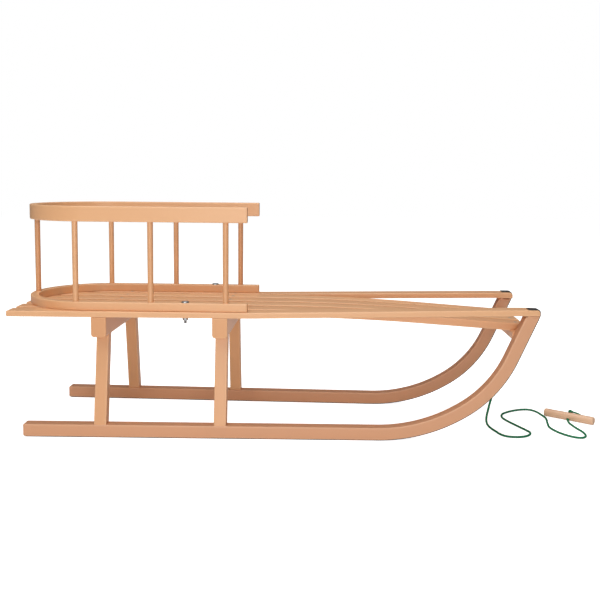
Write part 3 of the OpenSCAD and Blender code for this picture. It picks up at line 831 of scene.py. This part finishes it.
# An inner slat leaves the level at DIP_X, bends with radius DIP_R and then falls straight at DIP_A
DIP_X = 0
DIP_R, DIP_A = 4600, math.radians(3.9)
DIP_END_X = DIP_X + DIP_R * math.sin(DIP_A)
DIP_END_Z = SEAT_TOP - DIP_R * (1 - math.cos(DIP_A))
SCREW_HEAD, SCREW_D, SCREW_SINK = 8, 4, 2.5
SEAT_SCREW_ASIDE = 12
NOSE_SCREW_X = nose_mid.x


def outer_under(x):
    """Height of an outer slat's underside along its side frame."""
    t = (min(max(x, RISE_X), LEVEL_X) - RISE_X) / (LEVEL_X - RISE_X)
    return SEAT_UNDER + (TIP_UNDER - SEAT_UNDER) * t


def inner_top(x):
    """Height of an inner slat's top along the sledge."""
    if x < DIP_X:
        return SEAT_TOP
    if x < DIP_END_X:
        return SEAT_TOP - DIP_R + math.sqrt(DIP_R ** 2 - (x - DIP_X) ** 2)
    return DIP_END_Z - (x - DIP_END_X) * math.tan(DIP_A)


def cross_screw(at, axis, head, d, sink, spin):
    """A countersunk screw with its cross recess, its head a hair below the surface."""
    profile = [(-12, d / 2 - 0.3), (-sink, d / 2), (-0.5, head / 2 - 0.15), (-0.22, head / 2),
               (-0.12, head / 2 - 0.25), (-0.06, head / 2 - 1), (0.0, head / 2 - 2.4)]
    screw = turned("screw", Vector((0, 0, 0)), Vector((0, 0, 1)), profile, 24, ZINC)
    arms = []
    for across in (Vector((1, 0, 0)), Vector((0, 1, 0))):
        other = Vector((0, 0, 1)).cross(across)
        rings = [[Vector((0, 0, z)) + across * a * l + other * b * w
                  for a, b in ((-1, -1), (1, -1), (1, 1), (-1, 1))]
                 for z, l, w in ((-head * 0.24, head * 0.08, head * 0.05), (1, head * 0.3, head * 0.075))]
        arms.append(mesh_object("arm", *skin(rings), ZINC))
    cut(screw, arms)
    screw.matrix_basis = (Matrix.Translation(at * MM) @ axis.to_track_quat("Z", "Y").to_matrix().to_4x4()
                          @ Matrix.Rotation(spin, 4, "Z"))
    return screw


screw_places = {"seat_screws_rear": [], "seat_screws_front": [], "nose_screws": []}
screws_of_slat = {i: [] for i in range(6)}
for i in range(6):
    aside = {0: -SEAT_SCREW_ASIDE, 5: SEAT_SCREW_ASIDE}.get(i, 0)
    for node, x in (("seat_screws_rear", REAR_X), ("seat_screws_front", FRONT_BEAM_X)):
        spot = (Vector((x, slat_line(i, x) + aside, SEAT_TOP)), Vector((0, 0, 1)))
        screw_places[node].append(spot)
        screws_of_slat[i].append(spot)
    if 0 < i < 5:
        spot = (Vector((NOSE_SCREW_X, slat_line(i, NOSE_SCREW_X), inner_top(NOSE_SCREW_X))),
                Vector((math.sin(DIP_A), 0, math.cos(DIP_A))))
        screw_places["nose_screws"].append(spot)
        screws_of_slat[i].append(spot)


def outer_slat(i, word, side):
    """An outer slat: level, then climbing a little to its eased tip under the folded shoe."""
    zero = on_side(side, 0, 0, 0)
    across, up = on_side(side, 0, 1, 0) - zero, Vector((0, 0, 1))
    stations = [300, RISE_X - 10, RISE_X + 10, 760, 900, LEVEL_X - 8, LEVEL_X + 8, TIP_X - FOLD_R]
    rings = []
    for k in range(CORNER_STEPS + 1):
        a = math.pi / 2 * k / CORNER_STEPS
        inset, back = BACK_END * (1 - math.sin(a)), BACK_END * (1 - math.cos(a))
        radii = [max(c - inset, 0.3) for c in SLAT_EDGES]
        rings.append(ring_of(on_side(side, back, SLAT_W / 2, SEAT_UNDER + SLAT_T / 2), across, up,
                             SLAT_W - 2 * inset, SLAT_T - 2 * inset, radii))
    for x in stations:
        rings.append(ring_of(on_side(side, x, SLAT_W / 2, outer_under(x) + SLAT_T / 2), across, up,
                             SLAT_W, SLAT_T, SLAT_EDGES))
    for k in range(1, 5):
        a = math.pi / 2 * k / 4
        drop = FOLD_R * (1 - math.cos(a))
        rings.append(ring_of(on_side(side, TIP_X - FOLD_R + FOLD_R * math.sin(a), SLAT_W / 2,
                                     TIP_UNDER + (SLAT_T - drop) / 2), across, up,
                             SLAT_W - 1.2 * k / 4, SLAT_T - drop, SLAT_EDGES))
    slat = mesh_object("beech_outer_slat_" + word, *skin(rings), BEECH)
    cut(slat, [countersink(*spot, SCREW_HEAD, SCREW_D, SCREW_SINK, BEECH) for spot in screws_of_slat[i]])

    def locate(p):
        x, inset, z = off_side(side, p)
        return x, inset - SLAT_W / 2, z - outer_under(x) - SLAT_T / 2
    dress(slat, locate, SLAT_W, SLAT_T, 51 + i)
    place(slat, "beech", "outer_slat_" + word)


def inner_slat(i):
    """An inner slat: level over the beams, then bent down to the nose bar."""
    node = f"inner_slat_{i}"
    y = (2.5 - i) * SLAT_PITCH
    fan = math.atan(y * TOE_IN / LENGTH / HALF_WIDTH)
    along = Vector((math.cos(fan), -math.sin(fan), 0))
    across = Vector((math.sin(fan), math.cos(fan), 0))
    start = low(node).x + abs(math.sin(fan)) * SLAT_W / 2
    stop = high(node).x - abs(math.sin(fan)) * SLAT_W / 2
    xs = [start, -200, -50] + [DIP_X + (DIP_END_X - DIP_X) * k / 12 for k in range(13)] + [400, stop]
    path = []
    for x in xs:
        slope = math.asin(min(max(x - DIP_X, 0), DIP_R * math.sin(DIP_A)) / DIP_R)
        up = Vector((math.sin(slope), 0, math.cos(slope)))
        z = inner_top(x) - INNER_T / 2 / math.cos(slope)
        path.append((Vector((x, slat_line(i, x), z)), across, up))
    slat = bar("beech_" + node, path, SLAT_W, INNER_T, SLAT_EDGES, (BACK_END, NOSE_END), BEECH)
    cut(slat, [countersink(*spot, SCREW_HEAD, SCREW_D, SCREW_SINK, BEECH) for spot in screws_of_slat[i]])
    centre = Vector((REAR_X, y, 0))

    def locate(p):
        return (p - centre).dot(along), (p - centre).dot(across), p.z - inner_top(p.x) + INNER_T / 2
    dress(slat, locate, SLAT_W, INNER_T, 51 + i)
    place(slat, "beech", node)


outer_slat(0, "left", 1)
outer_slat(5, "right", -1)
for i in range(1, 5):
    inner_slat(i)

spins = random.Random(5)
for node, spots in screw_places.items():
    heads = [cross_screw(*spot, SCREW_HEAD, SCREW_D, SCREW_SINK, spins.uniform(0, 3)) for spot in spots]
    place(joined("zinc_" + node, heads), "fasteners", node)

# ------------------------------------------------------------------ backrest

TOP_Z, TOP_W = 32, 14
LOW_TOP = SEAT_TOP + LOW_Z
LINE_R = 146
CENTRE_X = low("backrest_bottom_rail").x + LOW_W / 2 + LINE_R


def horseshoe(z):
    """Path of a rail: forward end of the left arm, round the back, forward end of the right arm."""
    up = Vector((0, 0, 1))
    path = [(Vector((ARM_X, LINE_R, z)), Vector((0, 1, 0)), up),
            (Vector(((ARM_X + CENTRE_X) / 2, LINE_R, z)), Vector((0, 1, 0)), up)]
    for k in range(49):
        a = math.pi * k / 48
        out = Vector((-math.sin(a), math.cos(a), 0))
        path.append((Vector((CENTRE_X, 0, z)) + out * LINE_R, out, up))
    return path + [(Vector((p[0].x, -LINE_R, z)), Vector((0, -1, 0)), up) for p in path[1::-1]]


def rail_locate(z):
    def locate(p):
        if p.x >= CENTRE_X:
            way = p.x - CENTRE_X
            return (-way if p.y > 0 else math.pi * LINE_R + way), abs(p.y) - LINE_R, p.z - z
        a = math.atan2(CENTRE_X - p.x, p.y)
        return a * LINE_R, math.hypot(p.x - CENTRE_X, p.y) - LINE_R, p.z - z
    return locate


RAILS = (("backrest_bottom_rail", LOW_W, LOW_Z), ("backrest_top_rail", TOP_W, TOP_Z))
for i, (node, w, h) in enumerate(RAILS):
    z = middle(node).z
    rail = bar("bent_" + node, horseshoe(z), w, h, [1.9] * 4, (1.8, 1.8), BEECH)
    dress(rail, rail_locate(z), w, h, 61 + i, 0.15)
    place(rail, "bent_beech", node)

SPINDLE_R = 6
SPINDLE_TENON = 5
for i in range(1, 8):
    node = f"spindle_{i}"
    foot = Vector((middle(node).x, middle(node).y, LOW_TOP))
    tall = high("backrest_top_rail").z - TOP_Z - LOW_TOP
    profile = [(z, SPINDLE_R + dr) for z, dr in (
        (-SPINDLE_TENON, -0.5), (0, -0.15), (1.2, 0), (tall * 0.3, -0.03), (tall * 0.55, 0.03),
        (tall * 0.8, -0.03), (tall - 1.2, 0), (tall, -0.15), (tall + SPINDLE_TENON, -0.5))]
    spindle = turned("turned_" + node, foot, Vector((0, 0, 1)), profile, 32, BEECH)
    dress(spindle, lambda p, f=foot: (p.z, p.x - f.x, p.y - f.y), 40, 40, 81 + i, 0.35)
    place(spindle, "beech", node)

# ------------------------------------------------------------------ bolts, washers and nuts

THREAD_PITCH, THREAD_DEPTH, THREAD_STEP = 1.0, 0.55, 0.12
BOLT_D, HEAD_D, HEAD_H, HEAD_RIM = 6, 16.5, 3.5, 0.7
NUT_AF, NUT_T = 10, 5
WASHER_D, WASHER_T = 16, 1.6


def thread(a, z, r):
    """A bolt's thread: the radius falls by the thread's depth and back once a turn."""
    t = (z / THREAD_PITCH - a / (2 * math.pi)) % 1
    return r - THREAD_DEPTH * abs(2 * t - 1)


def hexagon(a, z, r):
    """The smaller of the turned radius and the flats of the nut."""
    off = (a + math.pi / 6) % (math.pi / 3) - math.pi / 6
    return min(r, NUT_AF / 2 / math.cos(off))


for word in SIDES:
    node = "backrest_bolt_" + word
    at = Vector((middle(node).x, middle(node).y, 0))
    up = Vector((0, 0, 1))
    dome = [(0, HEAD_D / 2 - 0.5), (0.25, HEAD_D / 2 - 0.05), (HEAD_RIM, HEAD_D / 2 - 0.1)]
    dome += [(HEAD_RIM + (HEAD_H - HEAD_RIM) * math.sin(a), HEAD_D / 2 * math.cos(a))
             for a in (math.radians(d) for d in range(15, 90, 10))]
    head = turned("head", at + up * LOW_TOP, up, dome, 48, ZINC)
    end_z = low(node).z
    shank_l = SEAT_UNDER - end_z
    profile = [(0, BOLT_D / 2 - 0.8), (0.5, BOLT_D / 2 - 0.1)]
    profile += [(0.5 + THREAD_STEP * k, BOLT_D / 2) for k in range(1, int((shank_l - 0.5) / THREAD_STEP))]
    shank = turned("shank", at + up * end_z, up, profile, 24, ZINC, thread)
    place(joined("zinc_" + node, [head, shank]), "fasteners", node)

    profile = [(0, WASHER_D / 2 - 0.4), (0.25, WASHER_D / 2), (WASHER_T - 0.25, WASHER_D / 2),
               (WASHER_T, WASHER_D / 2 - 0.4)]
    washer = turned("zinc_bolt_washer_" + word, at + up * (SEAT_UNDER - WASHER_T), up, profile, 48, ZINC)
    place(washer, "fasteners", "bolt_washer_" + word)

    profile = [(0, 4.2), (0.01, 5.0), (0.5, 5.9), (NUT_T - 0.5, 5.9), (NUT_T - 0.01, 5.0), (NUT_T, 4.2)]
    nut_z = SEAT_UNDER - WASHER_T - NUT_T
    nut = turned("zinc_bolt_nut_" + word, at + up * nut_z, up, profile, 48, ZINC, hexagon)
    place(nut, "fasteners", "bolt_nut_" + word)

for word, side in SIDES.items():
    heads = [cross_screw(*spot, SHOE_HEAD, SHOE_SCREW_D, SHOE_SINK, spins.uniform(0, 3))
             for spot in shoe_spots(side)]
    place(joined("zinc_shoe_screws_" + word, heads), "fasteners", "shoe_screws_" + word)

# ------------------------------------------------------------------ floor and light

# Strength of the light from all round; the camera sees a white backdrop in its place
AMBIENT = 0.1
# The floor looks this much brighter than its light makes it, and lies a little under the shoes
FLOOR_GLOW = 0.9
FLOOR_DROP = 0.2


# Name, place in metres, side of the square, watts and colour of each light; all look at one point
LIGHTS = (("key", (-0.8, -2.2, 2.6), 1.8, 26, (1.0, 0.99, 0.97)),
          ("front", (0.1, -3.2, 0.5), 1.6, 38, (1.0, 0.99, 0.98)),
          ("top", (-0.2, -0.1, 3.4), 2.4, 70, (1, 1, 1)),
          ("back", (0.3, 2.0, 2.8), 3.0, 6, (1, 1, 1)))
LIT_POINT = Vector((0, 0, 0.2))


def make_stage():
    """The white backdrop, the pale floor and the lights."""
    scene = bpy.context.scene
    scene.view_settings.view_transform = "Standard"
    world = bpy.data.worlds.new("studio")
    world.use_nodes = True
    tree = world.node_tree
    seen = calc(tree, "ADD", AMBIENT, calc(
        tree, "MULTIPLY", add(tree, "LightPath").outputs["Is Camera Ray"], 1 - AMBIENT))
    tree.nodes["Background"].inputs[0].default_value = (1, 1, 1, 1)
    tree.links.new(seen, tree.nodes["Background"].inputs[1])
    scene.world = world
    reach = 9 / MM
    floor = mesh_object("floor", [Vector((x, y, -FLOOR_DROP)) for x, y in
                                  ((-reach, -reach), (reach, -reach), (reach, reach), (-reach, reach))],
                        [(0, 1, 2, 3)], floor_material())
    for name, at, size, power, tint in LIGHTS:
        data = bpy.data.lights.new(name, "AREA")
        data.shape, data.size, data.energy, data.color = "SQUARE", size, power, tint
        light = bpy.data.objects.new(name, data)
        light.location = at
        light.rotation_mode = "QUATERNION"
        light.rotation_quaternion = (Vector(at) - LIT_POINT).to_track_quat("Z", "Y")
        scene.collection.objects.link(light)


def floor_material():
    material, tree, shader = new_material("pale_floor", Roughness=0.9)
    place_at = add(tree, "TexCoord").outputs["Object"]
    cloud = noise(tree, place_at, (1.5, 1.5, 1.5), 3)
    colour = mix(tree, cloud, srgb(252, 252, 252), srgb(247, 247, 247))
    tree.links.new(colour, shader.inputs["Base Color"])
    shader.inputs["Emission Color"].default_value = (1, 1, 1, 1)
    tree.links.new(calc(tree, "MULTIPLY", add(tree, "LightPath").outputs["Is Camera Ray"], FLOOR_GLOW),
                   shader.inputs["Emission Strength"])
    return material


make_stage()
